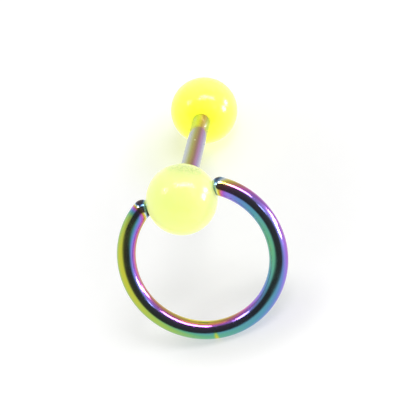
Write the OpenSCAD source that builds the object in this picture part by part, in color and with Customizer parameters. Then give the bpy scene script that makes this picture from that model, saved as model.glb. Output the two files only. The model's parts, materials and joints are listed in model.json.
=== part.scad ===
// Tongue barbell with a door knocker ring, standing on the ring's rim and the back ball.
// Millimetres, +Z up, X along the line that the ring swings about, origin at the middle
// of the outline's base.

/* [Barbell] */
// Diameter of each ball
ball_d = 6; // [5:0.5:7]
// Thickness of the post and of the ring's wire, 14 gauge
wire_d = 1.6; // [1.4:0.1:1.8]
// Length of post that shows between the two balls
post_show = 14.3; // [12:0.1:18]
// Thickness of the plain stub at each end of the post
stub_d = 1.2; // [0.8:0.1:1.3]
// Length of each stub past its shoulder
stub_length = 2.2; // [1.5:0.1:2.4]

/* [Knocker ring] */
// Clear width across the inside of the ring
ring_inner_d = 11.3; // [10:0.1:13]
// Length of each rounded end, from its flat face back to the round wire
tip_length = 0.48; // [0.3:0.02:0.7]
// Height of each end's centre above the line that the ring swings about
tip_rise = 0.16; // [0:0.02:0.3]
// Step down from the wire to the ground surface of its end
tip_step = 0.005; // [0.005:0.005:0.02]
// Angle that the ring is swung from pointing straight out of the barbell's front
ring_swing = 82.7; // [70:0.1:88]

/* [Seats in the balls] */
// Depth of the flat that each end of the ring turns on, below the ball's round
flat_depth = 0.08; // [0.08:0.01:0.3]
// Gap between each flat end of the ring and that flat
turning_gap = 0.06; // [0.04:0.01:0.08]
// Depth of the seat that takes the post's shoulder, below the ball's round
shoulder_depth = 0.25; // [0.15:0.05:0.5]
// Gap between the post and the hole that it fits
gap = 0.04; // [0.03:0.01:0.06]

/* [Hidden] */
$fn = 96;

ball_r = ball_d / 2;
wire_r = wire_d / 2;

// The ring's opening takes the front ball, and each rounded end is centred on the wire's line
ring_r = ring_inner_d / 2 + wire_r;
flat_x = ball_r - flat_depth;
end_x = flat_x + turning_gap;
tip_angle = asin((end_x + tip_length) / ring_r);
ring_drop = ring_r * cos(tip_angle) - tip_rise;
ring_reach = ring_drop + ring_r;

// The post enters each ball where the ball is as wide as the post
entry = sqrt(ball_r * ball_r - wire_r * wire_r);
ball_spacing = post_show + 2 * entry;
seat = ball_r - shoulder_depth;

// Standing, the ring's rim and the back ball touch the ground together:
// ring_reach * cos(ring_lean) + wire_r = ball_spacing * sin(barbell_slope) + ball_r
swing_short = 90 - ring_swing;
along = ring_reach * cos(swing_short);
across = ring_reach * sin(swing_short) + ball_spacing;
barbell_slope = acos((ball_r - wire_r) / norm([along, across])) - atan2(across, along);
ring_lean = barbell_slope + swing_short;

// The outline runs from the front of the ring's rim to the back of the back ball
reach_front = ring_reach * sin(ring_lean) + wire_r;
reach_back = ball_spacing * cos(barbell_slope) + ball_r;
swing_line_y = (reach_front - reach_back) / 2;
swing_line_z = ball_spacing * sin(barbell_slope) + ball_r;

// Puts a shape whose origin is the front ball's centre and whose +Y is the post's axis in place
module on_barbell() {
    translate([0, swing_line_y, swing_line_z])
        rotate([-barbell_slope, 0, 0])
            children();
}

// Puts a shape whose origin is the front ball's centre and whose -Z points at the ring's
// centre in place
module on_ring() {
    translate([0, swing_line_y, swing_line_z])
        rotate([-ring_lean, 0, 0])
            children();
}

// A round bar along +Y from y = start to y = finish
module bar_y(diameter, start, finish) {
    translate([0, start, 0])
        rotate([-90, 0, 0])
            cylinder(d = diameter, h = finish - start);
}

// A ball about the origin, with a stepped blind hole that opens towards +Y for the post's end
module drilled_ball() {
    difference() {
        sphere(d = ball_d);
        bar_y(wire_d + 2 * gap, seat, ball_d);
        bar_y(stub_d + 2 * gap, seat - stub_length, ball_d);
    }
}

// What is ground off each side of the front ball, where an end of the ring turns
module side_flat() {
    translate([flat_x, -ball_r, -ball_r])
        cube(ball_d);
}

// A rounded end of the ring, on its left in the ring's own plane
module rounded_end() {
    rotate([0, 0, 90 + tip_angle])
        translate([ring_r, 0, 0])
            sphere(r = wire_r - tip_step);
}

module post() {
    shoulder = seat + gap;
    color("mediumpurple")
        on_barbell() {
            bar_y(wire_d, shoulder, ball_spacing - shoulder);
            bar_y(stub_d, shoulder - stub_length, ball_spacing - shoulder + stub_length);
        }
}

module front_ball() {
    color("khaki")
        on_barbell()
            difference() {
                drilled_ball();
                side_flat();
                mirror([1, 0, 0])
                    side_flat();
            }
}

module back_ball() {
    color("yellow")
        on_barbell()
            translate([0, ball_spacing, 0])
                mirror([0, 1, 0])
                    drilled_ball();
}

// A round wire bent into a ring, whose rounded ends are ground flat to face the front ball
module knocker_ring() {
    color("darkorchid")
        on_ring()
            translate([0, 0, -ring_drop])
                rotate([90, 0, 0])
                    difference() {
                        union() {
                            rotate([0, 0, 90 + tip_angle])
                                rotate_extrude(angle = 360 - 2 * tip_angle)
                                    translate([ring_r, 0])
                                        circle(d = wire_d);
                            rounded_end();
                            mirror([1, 0, 0])
                                rounded_end();
                        }
                        translate([-end_x, 0, -wire_d])
                            cube([2 * end_x, ring_r + wire_d, 2 * wire_d]);
                    }
}

post();
front_ball();
back_ball();
knocker_ring();
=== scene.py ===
import json
import math

import bmesh
import bpy
from mathutils import Euler, Matrix, Vector


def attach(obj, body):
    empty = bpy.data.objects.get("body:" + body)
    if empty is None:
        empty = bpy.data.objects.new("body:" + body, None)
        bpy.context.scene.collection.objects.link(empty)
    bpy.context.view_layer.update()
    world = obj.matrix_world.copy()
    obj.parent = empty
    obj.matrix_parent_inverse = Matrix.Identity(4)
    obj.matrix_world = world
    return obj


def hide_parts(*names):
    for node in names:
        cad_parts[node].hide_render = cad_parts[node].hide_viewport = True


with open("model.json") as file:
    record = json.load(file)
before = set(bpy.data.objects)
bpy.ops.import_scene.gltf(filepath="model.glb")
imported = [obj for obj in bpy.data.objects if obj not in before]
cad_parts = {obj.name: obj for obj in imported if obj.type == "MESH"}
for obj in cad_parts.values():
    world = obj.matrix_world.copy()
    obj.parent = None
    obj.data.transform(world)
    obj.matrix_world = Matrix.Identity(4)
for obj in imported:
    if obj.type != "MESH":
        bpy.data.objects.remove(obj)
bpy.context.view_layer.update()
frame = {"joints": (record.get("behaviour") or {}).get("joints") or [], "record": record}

bl_info = {
    "name": "Door knocker tongue barbell",
    "version": (1, 0, 0),
    "blender": (4, 5, 0),
    "location": "3D View > Sidebar > Barbell",
    "description": "Models a rainbow tongue barbell with neon balls and a knocker ring",
    "category": "Object",
}

MM = 0.001

# How near to a plane a point counts as lying on it, how near two points are welded, and how near
# to a point a cut goes through that point itself
ON_PLANE = 1e-7
WELD = 1e-7
CUT_SNAP = 1e-8

# The front ball's centre, where the ring swings, the post's direction from there to the back ball
# and the angle by which it slopes down
HINGE = Vector(frame["joints"][0]["pos_m"])
POST_AXIS = Vector(frame["record"]["mounts"][0]["axis"])
SLOPE = math.atan2(-POST_AXIS.z, POST_AXIS.y)

# The point on the floor that the camera aims at
AIM = Vector((-1.211 * MM, 1.9665 * MM, 0.0))

# The side of each ball on which the acrylic's colour is painted deepest, paler away from it: painted
# shading of light through the milk
PAINTED_DEEP_SIDE = Vector((-0.124, -0.919, 0.372))

# The side of the front ball where painted shade stands for the post's stub showing through, and its
# side with a thin painted shade
STUB_SIDE = Vector((0.43, 0.505, 0.748))
SHADE_SIDE = Vector((-0.33, -0.48, -0.82))

# From the post's left side to its right as the camera sees it, and away to the side that the
# camera can't see, both in the barbell's own frame
POST_ACROSS = Vector((0.853, 0.0, -0.522))
POST_AWAY = Vector((-0.522, 0.0, -0.853))


def tone(red, green, blue):
    """Display values from 0 to 255, as the linear values that a shader takes"""
    parts = []
    for value in (red, green, blue):
        share = value / 255
        parts.append(share / 12.92 if share <= 0.04045 else ((share + 0.055) / 1.055) ** 2.4)
    return (*parts, 1.0)


def grey(level):
    """A plain grey at a linear level from 0 to 1"""
    return (level, level, level, 1.0)


# The colours of the coating, in the order that they follow as its film gets thicker
FILM_COLOURS = (
    (-3.0, tone(66, 50, 62)),
    (-2.3, tone(34, 54, 92)),
    (-1.7, tone(120, 165, 200)),
    (-1.1, tone(226, 236, 236)),
    (-0.5, tone(240, 226, 120)),
    (0.0, tone(216, 196, 60)),
    (0.9, tone(202, 134, 98)),
    (1.7, tone(210, 104, 178)),
    (2.5, tone(168, 100, 212)),
    (3.3, tone(148, 126, 228)),
    (4.1, tone(106, 138, 208)),
    (4.9, tone(86, 156, 182)),
    (5.7, tone(100, 180, 138)),
    (6.4, tone(158, 198, 94)),
    (7.1, tone(200, 204, 62)),
    (7.8, tone(184, 160, 60)),
    (8.6, tone(150, 96, 92)),
)

# The ring's film thickness, with a row for each power of the way out across the wire, from none to
# three: the mean round the ring, then how it swells once and twice round, along the ring's X and Y
FILM_SWELL = (
    (5.5, (-0.75, -0.1, 0.0), (0.45, -0.1, 0.0)),
    (1.3, (-2.0, 0.3, 0.0), (-0.95, 0.0, 0.0)),
    (-2.35, (0.85, -0.1, 0.0), (0.0, 0.0, 0.0)),
    (0.15, (0.0, 0.0, 0.0), (0.0, 0.0, 0.0)),
)

# Where the ring's film changes, at its two ends, along its foot and at one small flaw: the angle
# round the ring and how far the patch spreads, both in degrees, then the change in the film and how
# that change grows on the way out
FILM_PATCHES = (
    (61.3, 20.0, -2.2, -2.4),
    (61.3, 5.5, -3.6, 2.4),
    (61.3, 2.4, -0.6, -0.4),
    (-241.3, 6.3, -7.4, -3.0),
    (-100.0, 40.0, -0.35, 0.37),
    (-98.0, 1.4, 0.95, 1.0),
)

# The post's colours from its left side to its right, as the camera sees them
POST_COLOURS = (
    (0.0, tone(176, 185, 192)),
    (0.12, tone(177, 186, 180)),
    (0.2, tone(180, 182, 145)),
    (0.325, tone(176, 175, 62)),
    (0.45, tone(187, 159, 58)),
    (0.575, tone(160, 110, 80)),
    (0.7, tone(165, 100, 150)),
    (0.825, tone(155, 125, 177)),
    (1.0, tone(184, 190, 200)),
)

# The same at the post's back end, where the film is thinnest, painted yellower there as a painted
# reflection of the neon ball beside it
POST_END_COLOURS = (
    (0.0, tone(172, 201, 215)),
    (0.2, tone(203, 222, 180)),
    (0.325, tone(202, 213, 4)),
    (0.45, tone(193, 182, 28)),
    (0.575, tone(172, 136, 92)),
    (0.7, tone(188, 158, 235)),
    (0.825, tone(162, 172, 198)),
    (1.0, tone(190, 212, 176)),
)

# The same on the post's far side, which the photo hides
POST_FAR_COLOURS = (
    (0.0, tone(176, 185, 192)),
    (0.2, tone(122, 138, 220)),
    (0.4, tone(84, 160, 188)),
    (0.6, tone(104, 186, 132)),
    (0.8, tone(196, 200, 84)),
    (1.0, tone(184, 190, 200)),
)

# A pale fleck in the post's coating: its place in the barbell's own frame, and its colour
FLECK = (0.289 * MM, 11.17 * MM, 0.746 * MM)
FLECK_COLOUR = tone(246, 242, 190)

# How rough the colourless haze of handling is on the steel, which softens its mirrored light
HAZE_ROUGHNESS = 0.9

# How acrylic bends light, how deep light goes into its milk, and how red, green and blue share that
ACRYLIC_IOR = 1.49
MILK_DEPTH = 1.4 * MM
MILK_SPREAD = (1.0, 1.0, 0.45)


class BallSizes(bpy.types.PropertyGroup):
    """Sizes of the two acrylic balls"""

    diameter: bpy.props.FloatProperty(
        name="Diameter", description="Diameter of each ball",
        default=6.0 * MM, unit="LENGTH", precision=5)
    shoulder_depth: bpy.props.FloatProperty(
        name="Seat depth", description="Depth of the post's seat below the ball's round",
        default=0.25 * MM, unit="LENGTH", precision=5)
    fit_gap: bpy.props.FloatProperty(
        name="Fit gap", description="Gap between the post and its hole",
        default=0.04 * MM, unit="LENGTH", precision=5)
    mouth_round: bpy.props.FloatProperty(
        name="Mouth rounding", description="Rounding of the hole's edge",
        default=0.02 * MM, unit="LENGTH", precision=5)
    flat_depth: bpy.props.FloatProperty(
        name="Side flat depth", description="Depth of the flats that the ring's ends turn on",
        default=0.08 * MM, unit="LENGTH", precision=5)


class PostSizes(bpy.types.PropertyGroup):
    """Sizes of the barbell's post"""

    diameter: bpy.props.FloatProperty(
        name="Diameter", description="Thickness of the post",
        default=1.6 * MM, unit="LENGTH", precision=5)
    show: bpy.props.FloatProperty(
        name="Length shown", description="Length of post between the two balls",
        default=14.3 * MM, unit="LENGTH", precision=5)
    stub_diameter: bpy.props.FloatProperty(
        name="Stub diameter", description="Thickness of the stub inside each ball",
        default=1.2 * MM, unit="LENGTH", precision=5)
    stub_length: bpy.props.FloatProperty(
        name="Stub length", description="Length of each stub past its shoulder",
        default=2.2 * MM, unit="LENGTH", precision=5)
    edge_round: bpy.props.FloatProperty(
        name="Edge rounding", description="Rounding of the shoulders and stub ends",
        default=0.06 * MM, unit="LENGTH", precision=5)


class RingSizes(bpy.types.PropertyGroup):
    """Sizes of the knocker ring"""

    wire: bpy.props.FloatProperty(
        name="Wire", description="Thickness of the ring's wire",
        default=1.6 * MM, unit="LENGTH", precision=5)
    inside: bpy.props.FloatProperty(
        name="Inside diameter", description="Clear width across the ring",
        default=11.3 * MM, unit="LENGTH", precision=5)
    tip_length: bpy.props.FloatProperty(
        name="Tip length", description="Length of each rounded end behind its flat face",
        default=0.48 * MM, unit="LENGTH", precision=5)
    tip_rise: bpy.props.FloatProperty(
        name="Tip rise", description="Height of each end's centre above the swing line",
        default=0.16 * MM, unit="LENGTH", precision=5)
    turning_gap: bpy.props.FloatProperty(
        name="Turning gap", description="Gap between each end and the ball's flat",
        default=0.06 * MM, unit="LENGTH", precision=5)
    edge_round: bpy.props.FloatProperty(
        name="Edge rounding", description="Rounding of the rim of each flat end",
        default=0.07 * MM, unit="LENGTH", precision=5)


class Finishes(bpy.types.PropertyGroup):
    """Colours of the acrylic and look of the coated steel"""

    # Each ball's pale and deep colours are painted shading: the ball is painted deepest on one side and
    # paler away from it
    pale_acrylic: bpy.props.FloatVectorProperty(
        name="Pale acrylic", description="Colour of the front ball",
        subtype="COLOR", size=4, min=0, max=1, default=tone(234, 243, 163))
    pale_acrylic_deep: bpy.props.FloatVectorProperty(
        name="Pale acrylic core", description="Colour of the front ball's side away from the post",
        subtype="COLOR", size=4, min=0, max=1, default=tone(231, 241, 141))
    # Painted shade for the front ball, speckled where the post's stub shows through and thin low down
    pale_acrylic_shade: bpy.props.FloatVectorProperty(
        name="Pale acrylic shade", description="Colour of the front ball where the stub shows through",
        subtype="COLOR", size=4, min=0, max=1, default=tone(160, 180, 104))
    neon_acrylic: bpy.props.FloatVectorProperty(
        name="Neon acrylic", description="Colour of the back ball's outer side",
        subtype="COLOR", size=4, min=0, max=1, default=tone(254, 254, 130))
    neon_acrylic_deep: bpy.props.FloatVectorProperty(
        name="Neon acrylic core", description="Colour of the back ball round the post",
        subtype="COLOR", size=4, min=0, max=1, default=tone(254, 254, 56))
    acrylic_roughness: bpy.props.FloatProperty(
        name="Acrylic roughness", description="Roughness of the polished balls",
        default=0.19, min=0, max=1, subtype="FACTOR")
    # The balls' glow is painted light: their emission stands in for light that the dye and milk give
    # back, though they are no lamps
    painted_acrylic_glow: bpy.props.FloatProperty(
        name="Acrylic glow", description="How strongly the neon dye glows",
        default=0.42, min=0, max=1, subtype="FACTOR")
    steel_roughness: bpy.props.FloatProperty(
        name="Steel roughness", description="Roughness of the ring's polished steel",
        default=0.12, min=0, max=1, subtype="FACTOR")
    post_roughness: bpy.props.FloatProperty(
        name="Post roughness", description="Roughness of the post's polished steel",
        default=0.07, min=0, max=1, subtype="FACTOR")
    haze: bpy.props.FloatProperty(
        name="Haze", description="How strong the colourless haze of handling is on the coated steel",
        default=1.0, min=0, max=1, subtype="FACTOR")
    edge_wear: bpy.props.FloatProperty(
        name="Edge wear", description="How far the polish rounds the rims of the ring's ends",
        default=0.32 * MM, unit="LENGTH", precision=5)


class StageSettings(bpy.types.PropertyGroup):
    """The floor, the lamps and the camera"""

    azimuth: bpy.props.FloatProperty(
        name="Camera azimuth", description="Angle of the camera round the object",
        default=math.radians(17.119), subtype="ANGLE")
    elevation: bpy.props.FloatProperty(
        name="Camera elevation", description="Angle of the camera above the floor",
        default=math.radians(43.013), subtype="ANGLE")
    roll: bpy.props.FloatProperty(
        name="Camera roll", description="Turn of the camera about its own axis",
        default=math.radians(-28.189), subtype="ANGLE")
    distance: bpy.props.FloatProperty(
        name="Camera distance", description="From the camera to the point on the floor that it aims at",
        default=239.657 * MM, unit="LENGTH", precision=5)
    lens: bpy.props.FloatProperty(
        name="Lens", description="Focal length in millimetres",
        default=233.95, unit="CAMERA")
    floor_radius: bpy.props.FloatProperty(
        name="Floor radius", description="Radius of the pale floor",
        default=0.12, unit="LENGTH")
    lamp_distance: bpy.props.FloatProperty(
        name="Lamp distance", description="From the object to each lamp",
        default=0.3, unit="LENGTH")


def start_apart():
    """Leaves edit mode and deselects all, so that the next call acts on the new piece alone"""
    if bpy.context.mode != "OBJECT":
        bpy.ops.object.mode_set(mode="OBJECT")
    bpy.ops.object.select_all(action="DESELECT")


def take(piece):
    """Selects one piece alone"""
    start_apart()
    piece.select_set(True)
    bpy.context.view_layer.objects.active = piece


def edit(piece):
    """Opens one piece for editing with nothing selected"""
    take(piece)
    bpy.ops.object.mode_set(mode="EDIT")
    bpy.ops.mesh.select_all(action="DESELECT")
    bpy.ops.mesh.select_mode(type="VERT")


def choose(test):
    """Selects the points that pass a test, and the edges and faces between them"""
    bpy.ops.mesh.select_all(action="DESELECT")
    mesh = bpy.context.edit_object.data
    shape = bmesh.from_edit_mesh(mesh)
    count = 0
    for point in shape.verts:
        if test(point.co):
            point.select_set(True)
            count += 1
    shape.select_flush(True)
    bmesh.update_edit_mesh(mesh)
    if not count:
        raise RuntimeError(f"no point of {bpy.context.edit_object.name} was chosen")


def pull(offset, scale=None, centre=None):
    """Extrudes the selected loop by an offset, then scales it about a centre if a scale is given"""
    bpy.ops.mesh.extrude_region_move(TRANSFORM_OT_translate={"value": tuple(offset)})
    if scale is not None:
        bpy.ops.transform.resize(value=scale, center_override=tuple(centre))


def finish_piece(piece, name, body, material, node, smooth_deg):
    """Welds and shades a piece, applies its place, and gives it its body and finish"""
    edit(piece)
    bpy.ops.mesh.select_all(action="SELECT")
    bpy.ops.mesh.remove_doubles(threshold=WELD)
    bpy.ops.mesh.normals_make_consistent(inside=False)
    take(piece)
    bpy.ops.object.transform_apply(location=True, rotation=True, scale=True)
    bpy.ops.object.shade_smooth_by_angle(angle=math.radians(smooth_deg))
    piece.name = name
    piece.data.name = name
    piece.data.materials.clear()
    piece.data.materials.append(material)
    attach(piece, body)
    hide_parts(node)


class NodeBoard:
    """Adds shader nodes to a node tree and joins them, one call for each node"""

    def __init__(self, tree):
        self.tree = tree
        self.shader = tree.nodes.get("Principled BSDF")

    def put(self, node, key, value):
        """Gives one input of a node a value, or joins it to another node's output"""
        if isinstance(value, bpy.types.NodeSocket):
            self.tree.links.new(value, node.inputs[key])
        else:
            node.inputs[key].default_value = value

    def paint(self, key, value):
        """Gives one input of the material's shader a value, or joins it to a node's output"""
        self.put(self.shader, key, value)

    def add(self, kind, inputs=None, **settings):
        """A new node with its settings made and its inputs filled in"""
        node = self.tree.nodes.new(kind)
        for key, value in settings.items():
            setattr(node, key, value)
        for key, value in (inputs or {}).items():
            self.put(node, key, value)
        return node

    def math(self, operation, first, second=0.0, third=0.0):
        """A number worked out from up to three others"""
        node = self.add("ShaderNodeMath", {0: first, 1: second, 2: third}, operation=operation)
        return node.outputs[0]

    def measure(self, operation, first, second=(0.0, 0.0, 0.0)):
        """A number worked out from one or two vectors, such as a length or a distance"""
        node = self.add("ShaderNodeVectorMath", {0: first, 1: second}, operation=operation)
        return node.outputs["Value"]

    def dot(self, vector, direction):
        """How far a vector reaches along a direction"""
        return self.measure("DOT_PRODUCT", vector, direction)

    def own_place(self, centre, turn=(0.0, 0.0, 0.0), scale=(1.0, 1.0, 1.0)):
        """The place on the object as seen from a centre, along axes that are turned and scaled"""
        place = self.add("ShaderNodeTexCoord").outputs["Object"]
        node = self.add("ShaderNodeMapping",
                        {"Vector": place, "Location": centre, "Rotation": turn, "Scale": scale},
                        vector_type="TEXTURE")
        return node.outputs["Vector"]

    def noise(self, vector, scale, detail=2.0, roughness=0.5):
        """Soft random clouds, from 0 to 1"""
        node = self.add("ShaderNodeTexNoise", {"Vector": vector, "Scale": scale, "Detail": detail,
                                               "Roughness": roughness})
        return node.outputs["Fac"]

    def between(self, value, low, high, to_low=0.0, to_high=1.0, ease="SMOOTHSTEP"):
        """A value's range moved to another range, and held at its ends, eased unless told otherwise"""
        node = self.add("ShaderNodeMapRange", {"Value": value, "From Min": low, "From Max": high,
                                               "To Min": to_low, "To Max": to_high},
                        interpolation_type=ease)
        return node.outputs["Result"]

    def mix(self, share, first, second):
        """One colour turned into another by a share, on the colour sockets of the Mix node"""
        node = self.add("ShaderNodeMix", {0: share, 6: first, 7: second}, data_type="RGBA")
        return node.outputs[2]


def new_material(name):
    """A new material and the board that its nodes go on"""
    material = bpy.data.materials.new(name)
    material.use_nodes = True
    return material, NodeBoard(material.node_tree)


def colour_run(board, place, colours):
    """A run of colours, each at its place, blended between them"""
    first = colours[0][0]
    last = colours[-1][0]
    share = board.math("DIVIDE", board.math("SUBTRACT", place, first), last - first)
    ramp = board.add("ShaderNodeValToRGB", {"Fac": share})
    stops = ramp.color_ramp.elements
    stops[0].position = 0.0
    stops[0].color = colours[0][1]
    stops[1].position = 1.0
    stops[1].color = colours[-1][1]
    for spot, colour in colours[1:-1]:
        stops.new((spot - first) / (last - first)).color = colour
    return ramp.outputs["Color"]


def film_drift(board, own):
    """Slow small changes in a coating, from -0.5 to 0.5"""
    return board.math("SUBTRACT", board.noise(own, scale=260.0), 0.5)


def polished_steel(board, own, look, roughness):
    """Mirror polish with hairline scratches and a faint ripple, under the haze of handling"""
    board.paint("Metallic", 1.0)
    smears = board.noise(own, scale=900.0, detail=3.0)
    board.paint("Roughness", board.between(smears, 0.3, 0.75, to_low=roughness * 0.75,
                                           to_high=roughness * 1.5))
    ripple = board.noise(own, scale=450.0, detail=1.0)
    hairs = board.noise(own, scale=16000.0, detail=1.0)
    hair_height = 0.12
    height = board.math("MULTIPLY_ADD", hairs, hair_height, ripple)
    bump = board.add("ShaderNodeBump", {"Height": height, "Distance": 0.004 * MM, "Strength": 0.5})
    board.paint("Normal", bump.outputs["Normal"])
    board.paint("Coat Weight", look.haze)
    board.paint("Coat Roughness", HAZE_ROUGHNESS)
    return bump


def ring_film(board, own, ring_radius, wire_radius):
    """How thick the ring's film is, on the scale of FILM_COLOURS"""
    flat = board.add("ShaderNodeVectorMath", {0: own, 1: (1.0, 1.0, 0.0)},
                     operation="MULTIPLY").outputs["Vector"]
    ray = board.add("ShaderNodeVectorMath", {0: flat}, operation="NORMALIZE").outputs["Vector"]
    reach = board.measure("LENGTH", flat)
    outward = board.math("DIVIDE", board.math("SUBTRACT", reach, ring_radius), wire_radius)

    # The cosine and sine of the angle round the ring, and of twice that angle
    cosine = board.dot(ray, (1.0, 0.0, 0.0))
    sine = board.dot(ray, (0.0, 1.0, 0.0))
    double = board.add("ShaderNodeCombineXYZ", {
        "X": board.math("MULTIPLY_ADD", board.math("MULTIPLY", cosine, cosine), 2.0, -1.0),
        "Y": board.math("MULTIPLY", board.math("MULTIPLY", cosine, sine), 2.0),
    }).outputs["Vector"]

    film = 0.0
    for mean, once, twice in reversed(FILM_SWELL):
        swell = board.math("ADD", board.dot(ray, once), board.dot(double, twice))
        film = board.math("MULTIPLY_ADD", film, outward, board.math("ADD", swell, mean))
    for angle_deg, spread_deg, change, outward_change in FILM_PATCHES:
        angle = math.radians(angle_deg)
        near = board.math("SUBTRACT", board.dot(ray, (math.cos(angle), math.sin(angle), 0.0)), 1.0)
        steepness = 2.0 / math.radians(spread_deg) ** 2
        patch = board.math("EXPONENT", board.math("MULTIPLY", near, steepness))
        depth = board.math("MULTIPLY_ADD", outward, outward_change, change)
        film = board.math("MULTIPLY_ADD", patch, depth, film)
    drift_share = 0.4
    return board.math("MULTIPLY_ADD", film_drift(board, own), drift_share, film)


def ring_steel(look, ring_centre, ring_turn, ring_radius, wire_radius):
    """Rainbow coating whose film swells and thins round the ring and across its wire"""
    material, board = new_material("rainbow_ring_steel")
    own = board.own_place(ring_centre, ring_turn)
    film = ring_film(board, own, ring_radius, wire_radius)
    board.paint("Base Color", colour_run(board, film, FILM_COLOURS))
    bump = polished_steel(board, own, look, look.steel_roughness)
    worn = board.add("ShaderNodeBevel", {"Radius": look.edge_wear}, samples=8)
    board.put(bump, "Normal", worn.outputs["Normal"])
    return material


def post_steel(look, wire_radius):
    """Rainbow coating that changes across the post, at its back end and on its far side"""
    material, board = new_material("rainbow_post_steel")
    own = board.own_place(HINGE, (-SLOPE, 0.0, 0.0))
    drift = film_drift(board, own)
    drift_share = 0.06
    middle = board.math("ADD", board.dot(own, POST_ACROSS / (2 * wire_radius)), 0.5)
    across = board.math("MULTIPLY_ADD", drift, drift_share, middle)
    colour = colour_run(board, across, POST_COLOURS)

    onward = board.dot(own, (0.0, 1.0, 0.0))
    ragged = board.math("MULTIPLY_ADD", drift, 0.3 * MM, onward)
    # Painted reflection: beside the neon ball the post's back end turns to yellower colours over its
    # film
    back_end = board.between(ragged, 13.9 * MM, 14.9 * MM)
    colour = board.mix(back_end, colour, colour_run(board, across, POST_END_COLOURS))
    far_side = board.between(board.dot(own, POST_AWAY / wire_radius), 0.05, 0.55)
    colour = board.mix(far_side, colour, colour_run(board, across, POST_FAR_COLOURS))
    from_fleck = board.measure("DISTANCE", own, FLECK)
    fleck = board.between(from_fleck, 0.05 * MM, 0.13 * MM, to_low=0.9, to_high=0.0)
    board.paint("Base Color", board.mix(fleck, colour, FLECK_COLOUR))
    polished_steel(board, own, look, look.post_roughness)
    return material


def acrylic(name, look, centre, ball_radius, core, deep, pale, shade=None):
    """Milky neon acrylic with painted shading, deepest round one side, with a painted glow, a polished
    skin and faint handling marks
    """
    material, board = new_material(name)
    own = board.own_place(centre)
    clouds = board.math("SUBTRACT", board.noise(own, scale=420.0, detail=3.0, roughness=0.6), 0.5)
    cloud_share = 0.25
    depth = board.math("MULTIPLY_ADD", clouds, cloud_share, board.dot(own, core / ball_radius))
    # Painted shading: the milk runs from deep on one side to pale away from it, over its own cloudy
    # tone
    milk = board.mix(board.between(depth, 0.1, 1.0, ease="LINEAR"), pale, deep)
    if shade is not None:
        milk = board.mix(shade_share(board, own, ball_radius), milk, shade)
    board.paint("Base Color", milk)
    # Painted glow: the emission is painted light, though the ball is no lamp
    board.paint("Emission Color", milk)
    board.paint("Emission Strength", look.painted_acrylic_glow)
    board.paint("Subsurface Weight", 1.0)
    board.paint("Subsurface Radius", MILK_SPREAD)
    board.paint("Subsurface Scale", MILK_DEPTH)
    board.paint("IOR", ACRYLIC_IOR)
    marks = board.noise(own, scale=1500.0, detail=4.0, roughness=0.65)
    polish = look.acrylic_roughness
    board.paint("Roughness", board.between(marks, 0.35, 0.8, to_low=polish * 0.8,
                                           to_high=polish * 1.4))
    grain = board.noise(own, scale=5200.0)
    bump = board.add("ShaderNodeBump", {"Height": grain, "Distance": 0.003 * MM, "Strength": 0.02})
    board.paint("Normal", bump.outputs["Normal"])
    return material


def shade_share(board, own, ball_radius):
    """How much painted shade the front ball has: a speckled painted shade over the post's stub, where
    it shows through, and a thin painted shade low down
    """
    painted_stub_shade = board.between(board.dot(own, STUB_SIDE / ball_radius), 0.72, 0.99, to_high=0.65)
    specks = board.noise(own, scale=8000.0, detail=3.0, roughness=0.7)
    speckle = board.between(specks, 0.4, 0.6, to_low=0.2)
    low_down = board.between(board.dot(own, SHADE_SIDE / ball_radius), 0.6, 0.96, to_high=0.3)
    return board.math("ADD", board.math("MULTIPLY", painted_stub_shade, speckle), low_down)


def ball_spacing(balls, post):
    """From one ball's centre to the other's: the post enters each where the ball is as wide as it"""
    return post.show + 2 * math.sqrt((balls.diameter / 2) ** 2 - (post.diameter / 2) ** 2)


def drilled_ball(balls, post):
    """A ball about the world's origin whose stepped blind hole opens upwards"""
    radius = balls.diameter / 2
    hole = post.diameter / 2 + balls.fit_gap
    bore = post.stub_diameter / 2 + balls.fit_gap
    mouth = math.sqrt(radius ** 2 - hole ** 2)
    seat = radius - balls.shoulder_depth
    start_apart()
    bpy.ops.mesh.primitive_uv_sphere_add(segments=144, ring_count=96, radius=radius)
    ball = bpy.context.object
    edit(ball)
    bpy.ops.mesh.select_all(action="SELECT")
    bpy.ops.mesh.bisect(plane_co=(0, 0, mouth), plane_no=(0, 0, 1), clear_outer=True,
                        threshold=CUT_SNAP)
    choose(lambda co: co.z > mouth - ON_PLANE)
    pull((0, 0, seat - mouth))
    pull((0, 0, 0), (bore / hole, bore / hole, 1), (0, 0, seat))
    pull((0, 0, -post.stub_length))
    bpy.ops.mesh.edge_face_add()
    choose(lambda co: co.z > mouth - ON_PLANE)
    bpy.ops.mesh.bevel(offset=balls.mouth_round, segments=4, affect="EDGES")
    return ball


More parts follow.
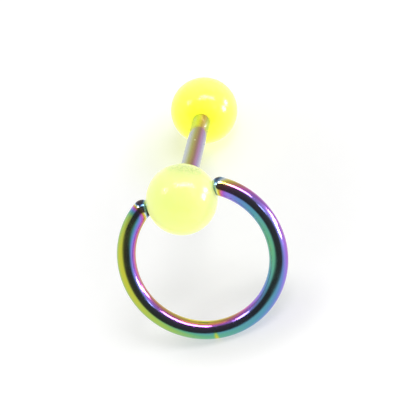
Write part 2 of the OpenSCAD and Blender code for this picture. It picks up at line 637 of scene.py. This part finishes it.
class BARBELL_OT_stage(bpy.types.Operator):
    """Lay the pale floor, hang the lamps and set the camera"""

    bl_idname = "barbell.stage"
    bl_label = "Stage"

    def execute(self, context):
        scene = context.scene
        stage = scene.barbell_stage
        floor = self.lay_floor(stage.floor_radius)
        self.hang_lamps(floor, stage.lamp_distance)
        self.put_up_tent(scene)
        scene.view_settings.view_transform = "Standard"
        self.set_camera(scene, stage)
        return {"FINISHED"}

    def lay_floor(self, radius):
        """White paper, painted with the soft changes of light that the lamps alone don't give it"""
        start_apart()
        bpy.ops.mesh.primitive_circle_add(vertices=128, radius=radius, fill_type="NGON")
        floor = bpy.context.object
        floor.name = "pale_floor"
        material, paper = new_material("pale_paper")
        spot = paper.add("ShaderNodeTexCoord").outputs["Object"]
        grain = paper.noise(spot, scale=900.0, detail=3.0)
        paper.paint("Base Color", paper.mix(grain, grey(0.48), grey(0.52)))
        paper.paint("Roughness", 0.9)
        paper.paint("Specular IOR Level", 0.1)

        # Painted light and shade: the yellow that the neon ball throws round its foot, with the ball's
        # shade there
        ball_foot = (-3.0 * MM, 10.4 * MM, 0.0)
        painted_spill_colour = (0.88, 0.93, 0.64, 1.0)
        from_foot = paper.measure("DISTANCE", spot, ball_foot)
        spill = paper.mix(paper.between(from_foot, 1 * MM, 7.5 * MM), painted_spill_colour, grey(1.0))
        paper.paint("Emission Color", spill)

        # Painted shade: the paper is lighter further out and glows less round the object, and a painted
        # shadow lies in a grey oval under the ring's rim
        from_middle = paper.measure("LENGTH", spot)
        glow = paper.between(from_middle, 9 * MM, 22 * MM, to_low=0.59, to_high=0.69)
        under_rim = paper.own_place((1.5 * MM, -12.5 * MM, 0.0), scale=(1.0, 0.625, 1.0))
        rim_shade = paper.between(paper.measure("LENGTH", under_rim), 4 * MM, 9 * MM, to_low=0.81)
        paper.paint("Emission Strength", paper.math("MULTIPLY", glow, rim_shade))
        floor.data.materials.append(material)
        floor.visible_glossy = False
        return floor

    def hang_lamps(self, floor, far):
        """A strip overhead, two low lamps and a spot on the right, one lamp on the left, and a roof"""
        self.lamp("overhead_strip", (0.48, 0.06, 0.875), far, width=0.325, depth=0.065, power=0.8,
                  along=(0.89, 0.02, -0.44))
        low_lamps = (
            self.lamp("side_lamp_near", (0.986, -0.132, -0.09), far, width=0.09, depth=0.09,
                      power=0.42),
            self.lamp("side_lamp_far", (0.972, 0.214, -0.086), far, width=0.08, depth=0.08,
                      power=0.33),
        )
        self.clear_of_floor(floor, low_lamps)
        self.lamp("side_spot", (0.787, -0.418, 0.454), far, width=0.05, depth=0.05, power=0.022)
        self.lamp("left_lamp", (-0.525, 0.02, 0.85), far, width=0.08, depth=0.085, power=0.15,
                  colour=(0.9, 0.94, 1.0))
        roof = self.lamp("tent_roof", (0.36, -0.02, 0.93), 2 * far, width=0.29, depth=0.29, power=1.2)
        roof.visible_diffuse = True
        roof.visible_glossy = False

    def lamp(self, name, direction, distance, width, depth, power, colour=(1.0, 1.0, 1.0), along=None):
        """A flat lamp facing the object from a direction: a strip along a given line, or else round"""
        data = bpy.data.lights.new(name, "AREA")
        data.shape = "RECTANGLE" if along else "ELLIPSE"
        data.size = width
        data.size_y = depth
        data.energy = power
        data.color = colour
        lamp = bpy.data.objects.new(name, data)
        bpy.context.scene.collection.objects.link(lamp)
        back = Vector(direction).normalized()
        line = Vector(along or (1.0, 0.0, 0.0))
        side = (line - back * line.dot(back)).normalized()
        turn = Matrix((side, back.cross(side), back)).transposed()
        lamp.rotation_mode = "QUATERNION"
        lamp.rotation_quaternion = turn.to_quaternion()
        lamp.location = HINGE + back * distance
        lamp.visible_camera = False
        lamp.visible_diffuse = False
        return lamp

    def clear_of_floor(self, floor, lamps):
        """Lets lamps that hang lower than the floor shine past its edge onto the object"""
        blockers = bpy.data.collections.new("all_but_floor")
        blockers.objects.link(floor)
        blockers.collection_objects[0].light_linking.link_state = "EXCLUDE"
        for lamp in lamps:
            lamp.light_linking.blocker_collection = blockers

    def put_up_tent(self, scene):
        """A white tent over a white table, open and dark towards the photographer"""
        world = bpy.data.worlds.new("white_tent")
        scene.world = world
        world.use_nodes = True
        world.node_tree.nodes.clear()
        board = NodeBoard(world.node_tree)
        look = board.add("ShaderNodeTexCoord").outputs["Generated"]

        # The dark room past the opening, a little redder towards the right
        to_right = board.between(board.dot(look, (1.0, 0.0, 0.0)), -0.6, 0.0)
        room = board.mix(to_right, (0.02, 0.02, 0.022, 1.0), (0.05, 0.026, 0.028, 1.0))

        # The walls past the opening's edge, the lit wall on the right and the table below
        to_opening = board.dot(look, (0.0, -0.84, 0.545))
        outer_edge = math.cos(math.radians(60))
        inner_edge = math.cos(math.radians(48))
        wall = board.between(to_opening, outer_edge, inner_edge, to_low=1.0, to_high=0.0)
        seen = board.mix(wall, room, grey(0.57))
        lit_wall = board.between(board.dot(look, (0.986, -0.086, -0.139)), 0.8, 0.95)
        seen = board.mix(lit_wall, seen, (1.0, 1.0, 1.04, 1.0))
        above_table = board.dot(look, (0.42, 0.0, 0.907))
        table = board.between(above_table, -0.14, 0.14, to_low=1.0, to_high=0.0)
        seen = board.mix(table, seen, grey(0.95))

        # Polish mirrors all of that, dull surfaces get an even light, and the camera sees white
        path = board.add("ShaderNodeLightPath").outputs
        light = board.mix(path["Is Glossy Ray"], grey(0.47), seen)
        colour = board.mix(path["Is Camera Ray"], light, grey(1.0))
        background = board.add("ShaderNodeBackground", {"Color": colour})
        board.add("ShaderNodeOutputWorld", {"Surface": background.outputs[0]})

    def set_camera(self, scene, stage):
        """Aims the camera at the floor from the photograph's angle, rolled about its own axis"""
        camera_data = bpy.data.cameras.new("camera")
        camera_data.lens = stage.lens
        camera_data.sensor_width = 36.0
        camera_data.clip_start = 0.01
        camera_data.clip_end = 10.0
        camera = bpy.data.objects.new("camera", camera_data)
        scene.collection.objects.link(camera)
        back = Vector((math.sin(stage.azimuth) * math.cos(stage.elevation),
                       -math.cos(stage.azimuth) * math.cos(stage.elevation),
                       math.sin(stage.elevation)))
        turn = (-back).to_track_quat("-Z", "Y").to_matrix() @ Euler((0, 0, stage.roll)).to_matrix()
        camera.rotation_mode = "QUATERNION"
        camera.rotation_quaternion = turn.to_quaternion()
        camera.location = AIM + back * stage.distance
        scene.camera = camera


class BARBELL_OT_post(bpy.types.Operator):
    """Model the post with its two stubs"""

    bl_idname = "barbell.post"
    bl_label = "Post"

    def execute(self, context):
        balls, post = context.scene.barbell_balls, context.scene.barbell_post
        radius = post.diameter / 2
        spacing = ball_spacing(balls, post)
        shoulder = balls.diameter / 2 - balls.shoulder_depth + balls.fit_gap
        half = spacing / 2 - shoulder
        start_apart()
        bpy.ops.mesh.primitive_cylinder_add(vertices=96, radius=radius, depth=2 * half)
        rod = context.object
        edit(rod)
        narrow = post.stub_diameter / post.diameter
        for end in (-1, 1):
            choose(lambda co: co.z * end > half - ON_PLANE)
            pull((0, 0, 0), (narrow, narrow, 1), (0, 0, end * half))
            pull((0, 0, end * post.stub_length))
        for level, width in ((half, radius), (half + post.stub_length, post.stub_diameter / 2)):
            choose(lambda co: abs(abs(co.z) - level) < ON_PLANE
                   and math.hypot(co.x, co.y) > width - ON_PLANE)
            bpy.ops.mesh.bevel(offset=post.edge_round, segments=3, affect="EDGES")
        # A cut near each shoulder keeps its rounding's shading off the long straight side
        for end in (-1, 1):
            bpy.ops.mesh.select_all(action="SELECT")
            bpy.ops.mesh.bisect(plane_co=(0, 0, end * (half - 2 * post.edge_round)), plane_no=(0, 0, 1),
                                threshold=CUT_SNAP)
        bpy.ops.object.mode_set(mode="OBJECT")
        rod.rotation_euler = (-math.pi / 2 - SLOPE, 0, 0)
        rod.location = HINGE + POST_AXIS * spacing / 2
        steel = post_steel(context.scene.barbell_finishes, radius)
        finish_piece(rod, "rainbow_post", "barbell", steel, "post", smooth_deg=30)
        return {"FINISHED"}


class BARBELL_OT_front_ball(bpy.types.Operator):
    """Model the pale front ball with its two side flats"""

    bl_idname = "barbell.front_ball"
    bl_label = "Front ball"

    def execute(self, context):
        balls, post = context.scene.barbell_balls, context.scene.barbell_post
        look = context.scene.barbell_finishes
        ball = drilled_ball(balls, post)
        radius = balls.diameter / 2
        flat = radius - balls.flat_depth
        for side in (-1, 1):
            bpy.ops.mesh.select_all(action="SELECT")
            bpy.ops.mesh.bisect(plane_co=(side * flat, 0, 0), plane_no=(side, 0, 0), clear_outer=True,
                                use_fill=True, threshold=CUT_SNAP)
        bpy.ops.object.mode_set(mode="OBJECT")
        ball.rotation_euler = (-math.pi / 2 - SLOPE, 0, 0)
        ball.location = HINGE
        skin = acrylic("pale_acrylic", look, HINGE, radius, PAINTED_DEEP_SIDE, look.pale_acrylic_deep,
                       look.pale_acrylic, look.pale_acrylic_shade)
        finish_piece(ball, "pale_front_ball", "barbell", skin, "front_ball",
                     smooth_deg=6)
        return {"FINISHED"}


class BARBELL_OT_back_ball(bpy.types.Operator):
    """Model the neon back ball"""

    bl_idname = "barbell.back_ball"
    bl_label = "Back ball"

    def execute(self, context):
        balls, post = context.scene.barbell_balls, context.scene.barbell_post
        look = context.scene.barbell_finishes
        centre = HINGE + POST_AXIS * ball_spacing(balls, post)
        ball = drilled_ball(balls, post)
        bpy.ops.object.mode_set(mode="OBJECT")
        ball.rotation_euler = (math.pi / 2 - SLOPE, 0, 0)
        ball.location = centre
        skin = acrylic("neon_acrylic", look, centre, balls.diameter / 2, PAINTED_DEEP_SIDE,
                       look.neon_acrylic_deep, look.neon_acrylic)
        finish_piece(ball, "neon_back_ball", "barbell", skin, "back_ball",
                     smooth_deg=6)
        return {"FINISHED"}


class BARBELL_OT_knocker_ring(bpy.types.Operator):
    """Bend the wire into the knocker ring and round and face its two ends"""

    bl_idname = "barbell.knocker_ring"
    bl_label = "Knocker ring"

    def execute(self, context):
        ring, balls = context.scene.barbell_ring, context.scene.barbell_balls
        look = context.scene.barbell_finishes
        wire = ring.wire / 2
        radius = ring.inside / 2 + wire
        # How far out each flat end lies, the angle at which the wire stops short of the ring's top,
        # how far the ring's centre hangs below the swing line, and its lean, down to the floor
        face = balls.diameter / 2 - balls.flat_depth + ring.turning_gap
        tip = math.asin((face + ring.tip_length) / radius)
        drop = radius * math.cos(tip) - ring.tip_rise
        lean = math.acos((HINGE.z - wire) / (drop + radius))
        start = math.pi / 2 + tip
        start_apart()
        bpy.ops.mesh.primitive_circle_add(
            vertices=72, radius=wire, fill_type="NOTHING", rotation=(math.pi / 2, 0, start),
            location=(radius * math.cos(start), radius * math.sin(start), 0))
        hoop = context.object
        bpy.ops.object.transform_apply(location=True, rotation=True, scale=True)
        edit(hoop)
        bpy.ops.mesh.select_all(action="SELECT")
        bpy.ops.mesh.spin(steps=260, angle=2 * math.pi - 2 * tip, center=(0, 0, 0), axis=(0, 0, -1))
        self.round_ends(wire, radius, start, face)
        choose(lambda co: abs(abs(co.x) - face) < ON_PLANE and co.y > 0)
        bpy.ops.mesh.bevel(offset=ring.edge_round, segments=4, affect="EDGES")
        bpy.ops.object.mode_set(mode="OBJECT")
        centre = HINGE + Vector((0, -math.sin(lean), -math.cos(lean))) * drop
        turn = (math.pi / 2 - lean, 0, 0)
        hoop.rotation_euler = turn
        hoop.location = centre
        steel = ring_steel(look, centre, turn, radius, wire)
        finish_piece(hoop, "rainbow_knocker_ring", "ring", steel, "knocker_ring",
                     smooth_deg=30)
        return {"FINISHED"}

    def round_ends(self, wire, radius, start, face):
        """A half ball on each end of the wire, ground flat where it faces the front ball"""
        steps = 14
        for side in (-1, 1):
            middle = Vector((side * abs(radius * math.cos(start)), radius * math.sin(start), 0))
            onward = Vector((-side * math.sin(start), -math.cos(start), 0))

            def on_end(co, middle=middle, onward=onward):
                off = co - middle
                return off.length < wire * 1.01 and abs(off.dot(onward)) < 2 * ON_PLANE

            choose(on_end)
            for step in range(1, steps):
                low = (step - 1) / steps * math.pi / 2
                high = step / steps * math.pi / 2
                shrink = math.cos(high) / math.cos(low)
                pull(onward * wire * (math.sin(high) - math.sin(low)), (shrink, shrink, shrink),
                     middle + onward * wire * math.sin(high))
            pull(onward * wire * (1 - math.sin(high)))
            bpy.ops.mesh.merge(type="CENTER")

            # Only the wire near this end is cut, since the plane would cut the ring's foot too
            choose(lambda co: co.x * side > 0 and co.y > radius * 0.6)
            bpy.ops.mesh.bisect(plane_co=(side * face, 0, 0), plane_no=(-side, 0, 0), clear_outer=True,
                                use_fill=True, threshold=CUT_SNAP)


class BARBELL_PT_panel(bpy.types.Panel):
    """Lists the barbell's steps and sizes"""

    bl_idname = "BARBELL_PT_panel"
    bl_label = "Door knocker barbell"
    bl_space_type = "VIEW_3D"
    bl_region_type = "UI"
    bl_category = "Barbell"

    def draw(self, context):
        for step in STEPS:
            self.layout.operator(step.bl_idname)
        for group in GROUPS:
            settings = getattr(context.scene, group)
            box = self.layout.box()
            for key in settings.bl_rna.properties.keys():
                if key not in ("rna_type", "name"):
                    box.prop(settings, key)


GROUPS = {
    "barbell_balls": BallSizes,
    "barbell_post": PostSizes,
    "barbell_ring": RingSizes,
    "barbell_finishes": Finishes,
    "barbell_stage": StageSettings,
}
STEPS = (
    BARBELL_OT_stage,
    BARBELL_OT_post,
    BARBELL_OT_front_ball,
    BARBELL_OT_back_ball,
    BARBELL_OT_knocker_ring,
)


def register():
    for name, group in GROUPS.items():
        bpy.utils.register_class(group)
        setattr(bpy.types.Scene, name, bpy.props.PointerProperty(type=group))
    for part in (*STEPS, BARBELL_PT_panel):
        bpy.utils.register_class(part)


def unregister():
    for part in reversed((*STEPS, BARBELL_PT_panel)):
        bpy.utils.unregister_class(part)
    for name, group in reversed(GROUPS.items()):
        delattr(bpy.types.Scene, name)
        bpy.utils.unregister_class(group)


def main():
    register()
    bpy.ops.barbell.stage()
    bpy.ops.barbell.post()
    bpy.ops.barbell.front_ball()
    bpy.ops.barbell.back_ball()
    bpy.ops.barbell.knocker_ring()
    start_apart()


if __name__ == "__main__":
    main()
